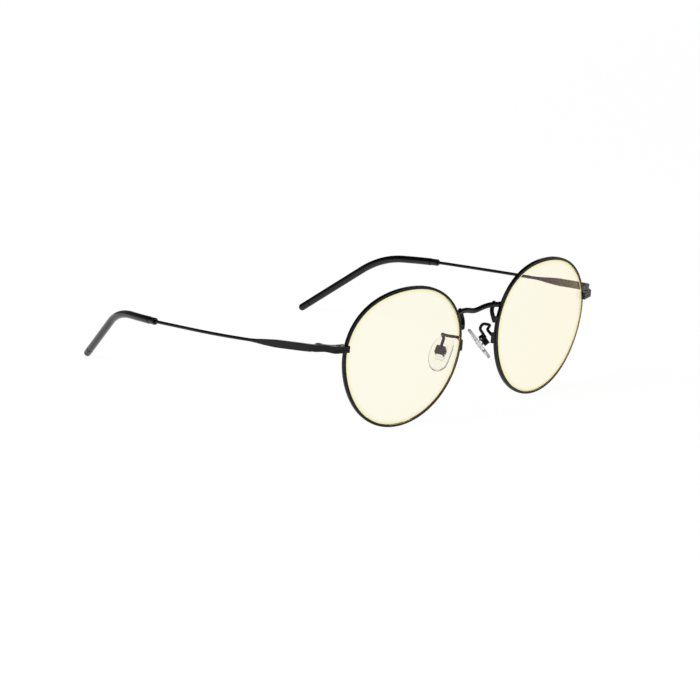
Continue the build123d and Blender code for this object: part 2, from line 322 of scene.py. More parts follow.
@dataclass(frozen=True)
class SplineRoute:
    """A wire's path that runs smoothly through a few points: a natural cubic in the chord length."""

    through: tuple[tuple[float, float, float], ...]

    def _bends(self) -> tuple[Array, Array, Array]:
        """Points, chord lengths so far, and second derivatives at each point."""
        points = np.array(self.through, float)
        chord = np.linalg.norm(np.diff(points, axis=0), axis=1)
        count = len(points)
        system, right = np.eye(count), np.zeros((count, 3))
        inner = np.arange(1, count - 1)
        system[inner, inner - 1] = chord[:-1]
        system[inner, inner] = 2 * (chord[:-1] + chord[1:])
        system[inner, inner + 1] = chord[1:]
        rise = np.diff(points, axis=0) / chord[:, None]
        right[inner] = 6 * np.diff(rise, axis=0)
        return points, np.append(0, np.cumsum(chord)), np.linalg.solve(system, right)

    def length(self) -> float:
        """Length of the chords."""
        return float(self._bends()[1][-1])

    def at(self, distance: Array) -> tuple[Array, Array]:
        """Points and headings at distances along the chords; it runs straight on past its ends."""
        points, so_far, bend = self._bends()
        inside = np.clip(distance, 0, so_far[-1])
        i = np.clip(np.searchsorted(so_far, inside, side="right") - 1, 0, len(points) - 2)
        h = (so_far[i + 1] - so_far[i])[:, None]
        t = (inside - so_far[i])[:, None]
        slope = (points[i + 1] - points[i]) / h - h * (2 * bend[i] + bend[i + 1]) / 6
        curve = points[i] + slope * t + bend[i] * t**2 / 2 + (bend[i + 1] - bend[i]) * t**3 / (6 * h)
        heads = slope + bend[i] * t + (bend[i + 1] - bend[i]) * t**2 / (2 * h)
        heads /= np.linalg.norm(heads, axis=1)[:, None]
        return curve + heads * (distance - inside)[:, None], heads


def swept(path: Route | SplineRoute, distance: Array, section: Array, hint: Array) -> Array:
    """Carries a section along a path.

    At each distance the section's first coordinate is laid across the heading, square to the hint,
    and its second square to both.

    Args:
        path: the route.
        distance: array (rows,), distances along it.
        section: array (rows, ring, 2) or (ring, 2), millimetres.
        hint: direction that the heading never has.

    Returns:
        Grid (rows, ring, 3).
    """
    points, heads = path.at(distance)
    across = np.cross(heads, hint)
    across /= np.linalg.norm(across, axis=1)[:, None]
    upward = np.cross(across, heads)
    section = np.broadcast_to(section, (len(distance), *section.shape[-2:]))
    return (points[:, None] + section[..., :1] * across[:, None] + section[..., 1:] * upward[:, None])


def circle(count: int) -> Array:
    """Unit circle of count points, array (count, 2)."""
    t = np.linspace(0, 2 * pi, count, endpoint=False)
    return np.stack([np.cos(t), np.sin(t)], -1)


def rounded_box(width: Array, height: Array, radius: Array) -> tuple[Array, Array]:
    """Rectangles with rounded corners, one for each row.

    Each corner is a quarter circle about a centre that lies one radius in from both sides.

    Args:
        width, height, radius: arrays (rows,), full sizes and corner radius.

    Returns:
        Sections (rows, 24, 2), and for each point how near it is to the middle of its corner, 1 at most.
    """
    fine = 6
    turn = np.linspace(0, pi / 2, fine)
    angle = (np.arange(4)[:, None] * pi / 2 + turn).ravel()
    sign_x = np.repeat([1, -1, -1, 1], fine)
    sign_y = np.repeat([1, 1, -1, -1], fine)
    x = sign_x * (width / 2 - radius)[:, None] + radius[:, None] * np.cos(angle)
    y = sign_y * (height / 2 - radius)[:, None] + radius[:, None] * np.sin(angle)
    middle = np.tile(np.sin(2 * turn), 4)
    return np.stack([x, y], -1), np.broadcast_to(middle, x.shape)


def wire(path: Route | SplineRoute, start: float, end: float, radius: Array | float, hint: Array,
         pitch: float = 0.12) -> Shell:
    """Round wire with domed ends: circles carried along a path, which shrink as a quarter circle does.

    Args:
        path: the route.
        start, end: distances at which the domes begin.
        radius: of the wire, one number or a pair (across, upward).
        hint: direction that the heading never has.
        pitch: distance between rings.

    Returns:
        The wire as a closed shell.
    """
    radii = np.broadcast_to(np.asarray(radius, float), (2,))
    rise = np.linspace(radians(6), pi / 2, 8)
    body = np.linspace(start, end, max(2, int((end - start) / pitch)))
    bulge = radii.min()
    near, far = start - bulge * np.cos(rise)[:-1], end + bulge * np.cos(rise)[::-1][1:]
    distance = np.concatenate([near, body, far])
    share = np.concatenate([np.sin(rise)[:-1], np.ones(len(body)), np.sin(rise)[::-1][1:]])
    return skin(swept(path, distance, circle(28) * radii * share[:, None, None], hint))


def solder_block(centre: tuple[float, float, float], size: tuple[float, float, float]) -> Shell:
    """A soldered foot: a box along X, Y and Z, of a middle and a full size, with rounded upright edges."""
    (x, y, z), (width, depth, height) = centre, size
    upright = SplineRoute(((x, y, z - height / 2), (x, y, z + height / 2)))
    rows = np.ones(3)
    section, _ = rounded_box(width * rows, depth * rows, SOLDER_ROUND * rows)
    return skin(swept(upright, np.linspace(0, height, len(rows)), section, ALONG_Y))


# ---- finishes

def linear(colour: str) -> tuple[float, float, float, float]:
    """An sRGB hex colour such as "#1a2b3c" as linear red, green, blue and an alpha of 1."""
    share = np.array([int(colour[i:i + 2], 16) for i in (1, 3, 5)]) / 255
    light = np.where(share <= 0.04045, share / 12.92, ((share + 0.055) / 1.055) ** 2.4)
    return (*light.tolist(), 1.0)


def add_node(tree: bpy.types.NodeTree, kind: str, settings: dict[str | int, Any] | None = None,
             links: dict[str | int, Any] | None = None) -> bpy.types.Node:
    """Adds a node with its settings and the links into it.

    Args:
        tree: the material's nodes.
        kind: Blender's name for the node, without the ShaderNode that it begins with.
        settings: value of each input, or of each property where no input has that name.
        links: output that feeds each input.

    Returns:
        The node.
    """
    node = tree.nodes.new(f"ShaderNode{kind}")
    for key, value in (settings or {}).items():
        if isinstance(key, int) or key in node.inputs:
            node.inputs[key].default_value = value
        else:
            setattr(node, key, value)
    for key, source in (links or {}).items():
        tree.links.new(source, node.inputs[key])
    return node


def bare_material(name: str) -> tuple[bpy.types.Material, bpy.types.NodeTree]:
    """A new material and its tree, with no nodes in it."""
    made = bpy.data.materials.new(name)
    made.use_nodes = True
    made.node_tree.nodes.clear()
    return made, made.node_tree


def per_metre(size: float) -> float:
    """Scale of a noise whose features are size millimetres across."""
    return 1 / (size * MM)


@dataclass(frozen=True)
class Coated:
    """An opaque finish with mottled gloss, a fine skin and worn edges.

    The gloss varies with a soft noise, the skin is a finer noise raised by a few microns, and the
    edge attribute brings in the worn colour in patches.
    """

    name: str
    colour: str
    worn: str
    roughness: float
    metallic: float = 0.0
    ior: float = 1.5
    specular: float = 0.25
    gloss_spread: float = 0.04
    mottle: float = 2.2  # mm, size of the patches that differ in gloss
    skin: float = 0.22  # mm, spacing of the skin's waves; drawn coarser than the real skin, to show
    relief: float = 0.003  # mm, height of the skin's waves

    def material(self) -> bpy.types.Material:
        """Builds the finish."""
        made, tree = bare_material(self.name)
        place = add_node(tree, "TexCoord").outputs["Object"]
        patches = add_node(tree, "TexNoise",
                           {"Scale": per_metre(self.mottle), "Detail": 3.0, "Roughness": 0.55},
                           {"Vector": place})
        waves = add_node(tree, "TexNoise",
                         {"Scale": per_metre(self.skin), "Detail": 2.0, "Roughness": 0.5},
                         {"Vector": place})
        gloss = add_node(tree, "MapRange",
                         {"From Min": 0.3, "From Max": 0.7, "To Min": self.roughness - self.gloss_spread,
                          "To Max": self.roughness + self.gloss_spread},
                         {"Value": patches.outputs["Fac"]})
        edge = add_node(tree, "Attribute", {"attribute_name": "edge"})
        rubbed = add_node(tree, "MapRange",
                          {"From Min": 0.5, "From Max": 0.68}, {"Value": patches.outputs["Fac"]})
        wear = add_node(tree, "Math", {"operation": "MULTIPLY"},
                        {0: edge.outputs["Fac"], 1: rubbed.outputs["Result"]})
        tone = add_node(tree, "Mix", {"data_type": "RGBA"}, {"Factor": wear.outputs["Value"]})
        tone.inputs[6].default_value = linear(self.colour)
        tone.inputs[7].default_value = linear(self.worn)
        bump = add_node(tree, "Bump", {"Strength": 1.0, "Distance": self.relief * MM},
                        {"Height": waves.outputs["Fac"]})
        surface = add_node(tree, "BsdfPrincipled",
                           {"Metallic": self.metallic, "IOR": self.ior, "Specular IOR Level": self.specular},
                           {"Base Color": tone.outputs[2], "Roughness": gloss.outputs["Result"],
                            "Normal": bump.outputs["Normal"]})
        add_node(tree, "OutputMaterial", links={"Surface": surface.outputs["BSDF"]})
        return made


@dataclass(frozen=True)
class GroundEdgeAndGlow:
    """What a clear piece is like where its edge attribute is 1: its colour and its roughness. Where the
    attribute is lower, the colour is mixed in by that share, which on the lens paints a glow of light inward
    from its edge.
    """

    colour: str
    roughness: float


@dataclass(frozen=True)
class Clear:
    """A clear finish: light goes through, bends by the IOR, and is taken up along its way.

    Each millimetre takes up the body density times 1 minus the body colour. A thin film on the
    surface gives the faint colour of an anti-reflection stack. Towards a ground edge the colour
    is mixed towards the edge's colour, a painted glow of the light caught in the edge, and the
    edge itself scatters light.
    """

    name: str
    ior: float
    roughness: float
    body: str
    body_density: float  # per millimetre
    ground_and_glow: GroundEdgeAndGlow | None = None
    film: float = 0.0  # nm
    film_ior: float = 1.25
    ripple: float = 1.5  # mm, spacing of the surface's slow waves
    relief: float = 0.0  # mm, height of those waves

    def material(self) -> bpy.types.Material:
        """Builds the finish."""
        made, tree = bare_material(self.name)
        clear = linear("#ffffff")
        surface = add_node(tree, "BsdfPrincipled",
                           {"Base Color": clear, "Roughness": self.roughness, "IOR": self.ior,
                            "Transmission Weight": 1.0, "Thin Film Thickness": self.film,
                            "Thin Film IOR": self.film_ior})
        if self.relief:
            place = add_node(tree, "TexCoord").outputs["Object"]
            waves = add_node(tree, "TexNoise",
                             {"Scale": per_metre(self.ripple), "Detail": 1.0}, {"Vector": place})
            bump = add_node(tree, "Bump", {"Strength": 1.0, "Distance": self.relief * MM},
                            {"Height": waves.outputs["Fac"]})
            tree.links.new(bump.outputs["Normal"], surface.inputs["Normal"])
        if self.ground_and_glow:
            edge = add_node(tree, "Attribute", {"attribute_name": "edge"}).outputs["Fac"]
            rough = add_node(tree, "MapRange",
                             {"From Min": 0.9, "To Min": self.roughness, "To Max": self.ground_and_glow.roughness},
                             {"Value": edge})
            # painted glow: the edge attribute mixes the ground edge's colour in, fully on the edge itself
            # and in part inward from it
            tone = add_node(tree, "Mix", {"data_type": "RGBA"}, {"Factor": edge})
            tone.inputs[6].default_value = clear
            tone.inputs[7].default_value = linear(self.ground_and_glow.colour)
            tree.links.new(rough.outputs["Result"], surface.inputs["Roughness"])
            tree.links.new(tone.outputs[2], surface.inputs["Base Color"])
        volume = add_node(tree, "VolumeAbsorption",
                          {"Color": linear(self.body), "Density": self.body_density / MM})
        add_node(tree, "OutputMaterial",
                 links={"Surface": surface.outputs["BSDF"], "Volume": volume.outputs["Volume"]})
        return made


# Electrophoretic lacquer on nickel alloy: even black, half gloss, its edges rubbed a little lighter.
BLACK_LACQUER = Coated("black_electrophoretic_lacquer", "#070708", "#2c2c2e", 0.2)
# Stainless screws, chemically blackened: a metal's own dark sheen, brighter where the driver rubs.
BLACK_STEEL = Coated("blackened_stainless_steel", "#232325", "#6f6f70", 0.38, metallic=1.0, specular=0.5,
                     gloss_spread=0.06, mottle=0.5, skin=0.08, relief=0.002)
# Cellulose acetate, moulded and tumbled: deep black, smooth, with slow waves in its polish.
BLACK_ACETATE = Coated("polished_black_acetate", "#08080a", "#1d1d1f", 0.1, ior=1.48, specular=0.4,
                       gloss_spread=0.03, mottle=3.5, skin=1.6)
# Cast lens resin with a blue-absorbing dye: pale yellow. Near its ground edge a deeper yellow is painted in,
# a painted glow of the light caught in the edge. Its anti-reflection stack is drawn as one film, three
# quarter-waves thick for green light that meets it at 45 degrees, which leaves a violet gleam.
TINTED_RESIN = Clear("blue_filter_lens_resin", 1.5, 0.0, "#f3e230", 0.11, GroundEdgeAndGlow("#e8e67e", 0.25),
                     film=393.0)
# Soft vinyl, injection moulded: clear, with a satin skin that blurs what is behind it.
CLEAR_VINYL = Clear("clear_soft_vinyl", 1.41, 0.3, "#f8faf8", 0.02, relief=0.01)
# Polycarbonate insert moulded into the pad: clear and hard.
CLEAR_INSERT = Clear("clear_polycarbonate_insert", 1.5, 0.06, "#f4f6f4", 0.03)


@functools.cache
def material_of(finish: Coated | Clear) -> bpy.types.Material:
    """The one material of a finish."""
    return finish.material()


# ---- pieces

@dataclass
class Piece:
    """A finished surface, what it is made of, what it rides on and which CAD nodes it stands for."""

    name: str
    shell: Shell
    finish: Coated | Clear
    body: str
    slot: str
    stands_for: tuple[str, ...]
    crease: float = 40.0  # degrees above which two faces meet in a sharp edge

    def build(self) -> bpy.types.Object:
        """Makes the object, dresses it and hands it to the frame."""
        mesh = plain_mesh(self.name, self.shell)
        mesh.set_sharp_from_angle(angle=radians(self.crease))
        mesh.materials.append(material_of(self.finish))
        made = added(self.name, mesh)
        flat = made.modifiers.new("even_normals", "WEIGHTED_NORMAL")
        flat.keep_sharp = True
        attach(made, self.body)
        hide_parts(*self.stands_for)
        log.info("%s: %d faces, rides on %s", self.name, len(mesh.polygons), self.body)
        return made


def dress(node: str, finish: Coated | Clear) -> None:
    """Gives a CAD node its finish."""
    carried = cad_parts[node]
    if not carried.material_slots:
        carried.data.materials.append(None)
    for slot in carried.material_slots:
        slot.link = "OBJECT"
        slot.material = material_of(finish)
    log.info("%s: CAD shape in %s", node, finish.name)


def softened(node: str, grain: float, rounds: int) -> Shell:
    """A CAD node's shape with its edges rounded as lacquer rounds them, in the frame's metres."""
    sharp = read_mesh(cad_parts[node].data)
    soft = fused(sharp.on(sharp.points / MM), grain, rounds)
    return soft.on(soft.points * MM)


def lacquer(node: str, body: str, grain: float, rounds: int) -> None:
    """Stands a softened copy of a CAD node in for it, in lacquer."""
    Piece(f"{node}_lacquered", softened(node, grain, rounds), BLACK_LACQUER, body, "frame_metal",
          (node,)).build()


@dataclass(frozen=True)
class Eyewire:
    """A lens and the grooved rim round it."""

    half_centres: float = 34.32
    wrap: float = 6.8  # degrees that each lens is turned back at the temple side
    mean_radius: float = 25.9
    # cosine and sine shares of the soft panto outline, for n = 2, 3, 4
    outline: tuple[tuple[float, float], ...] = ((0.0049, -0.0057), (0.0008, 0.0239), (-0.0070, 0.0039))
    width: float = 0.95
    depth: float = 1.3
    outer_round: float = 0.28
    inner_round: float = 0.10
    groove_depth: float = 0.5
    groove_half: float = 0.42
    seat: float = 0.02
    lock_height: float = 5.95
    lock_cut: float = 0.1
    front_radius: float = 132.0
    back_radius: float = 128.0
    front_vertex: float = 3.3
    thickness: float = 1.8
    edge_bevel: float = 0.14  # polished bevel on both faces of the lens
    painted_glow_width: float = 2.0  # how far in from its edge, and how strongly, the lens is painted a deeper yellow: a painted glow of the light caught in its edge
    painted_glow_share: float = 0.6

    def radius(self, t: Array) -> Array:
        """Outer edge of the rim: the mean radius times 1 plus its cosine and sine shares."""
        shape = sum(c * np.cos(n * t) + s * np.sin(n * t) for n, (c, s) in enumerate(self.outline, 2))
        return self.mean_radius * (1 + shape)

    def axes(self) -> tuple[Array, Array]:
        """Directions across the lens to the temple, and forward out of it."""
        c, s = cos(radians(self.wrap)), sin(radians(self.wrap))
        return np.array([c, s, 0.0]), np.array([s, -c, 0.0])

    def point(self, t: Array, radius: Array, height: Array) -> Array:
        """Point at an angle, a distance from the lens's centre, and a height forward of the groove."""
        temporal, forward = self.axes()
        flat = np.cos(t)[..., None] * temporal + np.sin(t)[..., None] * np.array([0, 0, 1.0])
        centre = np.array([self.half_centres, 0, 0])
        return centre + radius[..., None] * flat + height[..., None] * forward

    def polar(self, points: Array) -> tuple[Array, Array, Array]:
        """Angle, distance from the lens's centre, and height of points in the front frame."""
        temporal, forward = self.axes()
        local = points - np.array([self.half_centres, 0, 0])
        x, z = local @ temporal, local[:, 2]
        return np.arctan2(z, x), np.hypot(x, z), local @ forward

    def held_off(self, points: Array, bite: float) -> Array:
        """Points that lie inside the rim's outer edge, moved out onto it, less a small bite."""
        t, distance, height = self.polar(points)
        return self.point(t, np.maximum(distance, self.radius(t) - bite), height)

    def rim_profile(self) -> tuple[Array, Array, Array]:
        """The rim's section as insets from the outer edge, heights, and 1 on its outer corners.

        It is a rectangle with two large outer corners and two small inner ones, and a V in its
        inner side.
        """
        half, turn = self.depth / 2, np.linspace(0, pi / 2, 7)
        big, small = self.outer_round, self.inner_round
        front_outer = np.stack([big - big * np.cos(turn), half - big + big * np.sin(turn)], -1)
        front_inner = np.stack([self.width - small + small * np.sin(turn),
                                half - small + small * np.cos(turn)], -1)
        vee = np.array([[self.width, self.groove_half], [self.width - self.groove_depth, 0],
                        [self.width, -self.groove_half]])
        upper = np.concatenate([front_outer, front_inner])
        lower = upper[::-1] * [1, -1]
        worn = np.concatenate([np.sin(2 * turn), np.zeros(len(front_inner))])
        loop = np.concatenate([upper, vee, lower])
        return loop[:, 0], loop[:, 1], np.concatenate([worn, np.zeros(3), worn[::-1]])

    def rim(self) -> Shell:
        """The section carried round the outline from one side of the lock's cut to the other."""
        inset, height, worn = self.rim_profile()
        ends = np.arcsin((self.lock_height + np.array([1, -1]) * self.lock_cut) / self.mean_radius)
        t = np.linspace(ends[0], 2 * pi + ends[1], 420)
        angle, inner = np.meshgrid(t, inset, indexing="ij")
        grid = self.point(angle, self.radius(angle) - inner, np.broadcast_to(height, angle.shape))
        return skin(grid, np.broadcast_to(worn, angle.shape))

    def lens(self) -> Shell:
        """A meniscus: both faces are parts of spheres, and its edge is a ridge in the rim's groove.

        At share k of the way out, a face's height is its vertex's, less the sphere's fall at that
        radius: R minus the square root of R squared less r squared.
        """
        share = np.concatenate([np.linspace(0.02, 0.9, 25), np.linspace(0.915, 1, 9)])
        t, k = np.meshgrid(np.linspace(0, 2 * pi, 320, endpoint=False), share)
        edge = self.radius(t) - self.width - self.seat
        radius = (edge - self.edge_bevel) * k
        front = self.front_vertex - self.front_radius + np.sqrt(self.front_radius**2 - radius**2)
        back = (self.front_vertex - self.thickness - self.back_radius
                + np.sqrt(self.back_radius**2 - radius**2))
        rim_edge, ring = edge[0], np.ones_like(edge[0])
        ridge_half = self.groove_half - self.seat
        ridge_out = self.groove_depth - 3 * self.seat
        flank = [(rim_edge, front[-1] - self.edge_bevel), (rim_edge, ridge_half * ring),
                 (rim_edge + ridge_out, 0 * ring), (rim_edge, -ridge_half * ring),
                 (rim_edge, back[-1] + self.edge_bevel)]
        radii = np.concatenate([radius, [r for r, _ in flank], radius[::-1]])
        heights = np.concatenate([front, [h for _, h in flank], back[::-1]])
        # painted glow: a deeper yellow painted in from the lens's edge for the light caught in it; the flank
        # itself is the real ground edge
        near = self.painted_glow_share * np.clip((share - 1) * self.mean_radius / self.painted_glow_width + 1, 0, 1) ** 2
        ground_and_glow = np.concatenate([near, np.ones(len(flank)), near[::-1]])
        grid = self.point(np.broadcast_to(t[0], radii.shape), radii, heights)
        return skin(grid, np.broadcast_to(ground_and_glow[:, None], radii.shape))

    def build(self, side: Side) -> None:
        """Makes one side's rim and lens."""
        rim, lens = side.named("rim"), side.named("lens")
        Piece(f"{rim}_wire", self.rim().placed(side), BLACK_LACQUER, "front", "frame_metal", (rim,)).build()
        Piece(f"{lens}_blank", self.lens().placed(side), TINTED_RESIN, "front", "lens", (lens,),
              crease=20.0).build()


@dataclass(frozen=True)
class Bridge:
    """A saddle bar between the rims, with a leg soldered down the nose side of each."""

    eyewire: Eyewire
    bar: tuple[tuple[float, float, float], ...] = (
        (-12.2, -2.2, 11.5), (-7.4, -1.4, 12.1), (-3.6, -0.8, 11.6), (0, -0.5, 10.9),
        (3.6, -0.8, 11.6), (7.4, -1.4, 12.1), (12.2, -2.2, 11.5))
    bar_radii: tuple[float, float] = (0.78, 0.98)
    bar_trim: float = 0.8  # the bar's domed ends begin this far in from its end points
    leg: tuple[tuple[float, float, float], ...] = (
        (8.5, -1.4, 12.65), (7.5, -1.7, 10.0), (7.55, -2.4, 8.0), (7.95, -2.8, 6.4))
    leg_radius: float = 0.78
    foot: tuple[float, float, float] = (8.9, -2.8, 6.9)
    foot_size: tuple[float, float, float] = (2.2, 1.1, 2.0)
    grain: float = 0.1
    rounds: int = 8
    bite: float = 0.06  # how far the soldered faces go into the rim

    def shell(self) -> Shell:
        """Bar, legs and feet fused, then held off the two rims."""
        along, down = SplineRoute(self.bar), SplineRoute(self.leg)
        bar = wire(along, self.bar_trim, along.length() - self.bar_trim, self.bar_radii, ALONG_Z)
        leg = wire(down, 0, down.length(), self.leg_radius, ALONG_Y)
        half = united([leg, solder_block(self.foot, self.foot_size)])
        other = half.on(half.points * [-1, 1, 1]).outward()
        whole = fused(united([bar, half, other]), self.grain, self.rounds)
        sign = np.where(whole.points[:, :1] < 0, -1, 1) * [1, 0, 0] + [0, 1, 1]
        kept = self.eyewire.held_off(whole.points * sign, self.bite) * sign
        return whole.on(kept)

    def build(self) -> None:
        """Makes the bridge."""
        Piece("bridge_bar_and_legs", self.shell().placed(Side.LEFT), BLACK_LACQUER, "front",
              "frame_metal", ("bridge",)).build()


@dataclass(frozen=True)
class Endpiece:
    """The rim's lock and the hinge: two blocks and their screws."""

    grain: float = 0.075
    rounds: int = 5

    def build(self, side: Side) -> None:
        """Softens the blocks' edges and dresses the screws."""
        for node in ("endpiece", "rim_lock_block"):
            lacquer(side.named(node), "front", self.grain, self.rounds)
        for node in ("rim_lock_screw", "hinge_screw"):
            dress(side.named(node), BLACK_STEEL)


@dataclass(frozen=True)
class Temple:
    """A blade that narrows to a wire, its hinge tongue, and the sleeve moulded over its end."""

    corners: tuple[tuple[float, float, float], ...] = (
        (69.15, 9.1, 5.97), (73.0, 45.7, -0.15), (71.45, 92.5, -7.0), (66.83, 114.7, -10.62),
        (54.77, 144.93, -37.39))
    radii: tuple[float, ...] = (330.0, 110.0, 36.0)
    butt: float = 9.48  # the blade's flat front end
    # the blade's full height and thickness and its corner radius, at distances along it
    stations: tuple[float, ...] = (0, 6, 15, 22, 26.5, 30)
    heights: tuple[float, ...] = (2.66, 2.8, 2.8, 2.15, 1.45, 1.2)
    thicknesses: tuple[float, ...] = (1.15, 1.15, 1.15, 1.15, 1.16, 1.2)
    corner_radii: tuple[float, ...] = (0.24, 0.24, 0.24, 0.30, 0.48, 0.6)
    worn_until: float = 28.0  # the blade's rubbed edges fade out before here
    worn_fade: float = 10.0
    wire_radius: float = 0.6
    tip_joint: float = 88.7
    slant: float = 1.013  # length along the temple for each millimetre back
    sleeve_radius: float = 1.4
    collar_length: float = 3.2
    collar_inset: float = 0.1
    cap_length: float = 5.4
    mouth_round: float = 0.3
    hole_gap: float = 0.02
    hole_depth: float = 0.6  # how far the mouth's hole is drawn in round the wire
    groove_width: float = 0.3
    groove_inset: float = 0.25
    groove_corner: float = 0.02
    dome_lead: float = 0.3  # straight stretch just before the end's dome
    soft_edge: float = 0.12
    long_span: float = 2.0  # stretches longer than this get more rings, a ring pitch apart
    ring_pitch: float = 0.25
    grain: float = 0.06  # the tongue's grid, and how many times its corners are relaxed
    rounds: int = 16

    def route(self) -> Route:
        """The temple's middle line."""
        return Route(self.corners, self.radii)

    def sleeve_start(self) -> float:
        """Distance along the temple at which the sleeve's mouth is."""
        return (self.tip_joint - self.corners[0][1]) * self.slant

    def blade(self) -> Shell:
        """Rounded rectangles carried along the temple, which ease from the blade's size to the wire's."""
        end = self.route().length() - 2 * self.cap_length
        after = self.stations[-1] + 1.5
        distance = np.concatenate([np.linspace(0, self.stations[-1] + 1, 125), np.linspace(after, end, 190)])
        knots = np.array(self.stations)
        height, thickness, corner = (eased(distance, knots, np.array(values)) for values in
                                     (self.heights, self.thicknesses, self.corner_radii))
        section, worn = rounded_box(thickness, height, corner * 0.999)  # keeps a sliver of flat side
        grid = swept(self.route(), distance, section, ALONG_Z)
        grid[..., 1] = np.maximum(grid[..., 1], self.butt)
        fade = np.clip((self.worn_until - distance) / self.worn_fade, 0, 1)[:, None]
        return skin(grid, worn * fade)

    def sleeve_profile(self) -> tuple[Array, Array]:
        """Distances along the temple and radii of the sleeve: mouth, collar, groove, grip, groove, cap.

        Every step between two radii is a quarter circle, and the end is half a sphere.
        """
        turn = np.linspace(0, pi / 2, 6)
        start, edge, mouth = self.sleeve_start(), self.soft_edge, self.mouth_round
        end, grip = self.route().length(), self.sleeve_radius
        collar, groove = grip - self.collar_inset, grip - self.groove_inset
        hole = self.wire_radius + self.hole_gap
        floor = np.array([self.groove_corner, self.groove_width - self.groove_corner])
        spans = [(np.array([start + self.hole_depth, start]), np.array([hole, hole])),
                 (start + mouth * (1 - np.cos(turn)), collar - mouth + mouth * np.sin(turn))]
        cap_start = end + grip - self.cap_length
        for where, before in ((start + self.collar_length, collar), (cap_start - self.groove_width, grip)):
            spans.append((where - edge + edge * np.sin(turn), before - edge + edge * np.cos(turn)))
            spans.append((where + floor, np.array([groove, groove])))
            spans.append((where + self.groove_width + edge * (1 - np.cos(turn)),
                          grip - edge + edge * np.sin(turn)))
        dome = np.linspace(0, radians(86), 14)
        spans.append((np.array([end - self.dome_lead]), np.array([grip])))
        spans.append((end + grip * np.sin(dome), grip * np.cos(dome)))
        return np.concatenate([d for d, _ in spans]), np.concatenate([r for _, r in spans])

    def sleeve(self) -> Shell:
        """Circles of the profile's radii carried along the temple."""
        distance, radius = self.sleeve_profile()
        long = np.diff(distance) > self.long_span
        fill = [np.linspace(a, b, int((b - a) / self.ring_pitch))[1:-1] for a, b in
                zip(distance[:-1][long], distance[1:][long])]
        where = np.repeat(np.flatnonzero(long) + 1, [len(rings) for rings in fill])
        distance = np.insert(distance, where, np.concatenate(fill))
        radius = np.insert(radius, where, radius[where])
        return skin(swept(self.route(), distance, circle(40) * radius[:, None, None], ALONG_Z))

    def build(self, side: Side) -> None:
        """Makes one side's blade, sleeve and hinge tongue."""
        body = f"{side.named('temple')}_arm"
        temple, tip, tongue = (side.named(piece) for piece in ("temple", "temple_tip", "hinge_tongue"))
        Piece(f"{temple}_blade", self.blade().placed(side), BLACK_LACQUER, body, "frame_metal",
              (temple,)).build()
        Piece(f"{tip}_sleeve", self.sleeve().placed(side), BLACK_ACETATE, body, "tip", (tip,)).build()
        lacquer(tongue, body, self.grain, self.rounds)


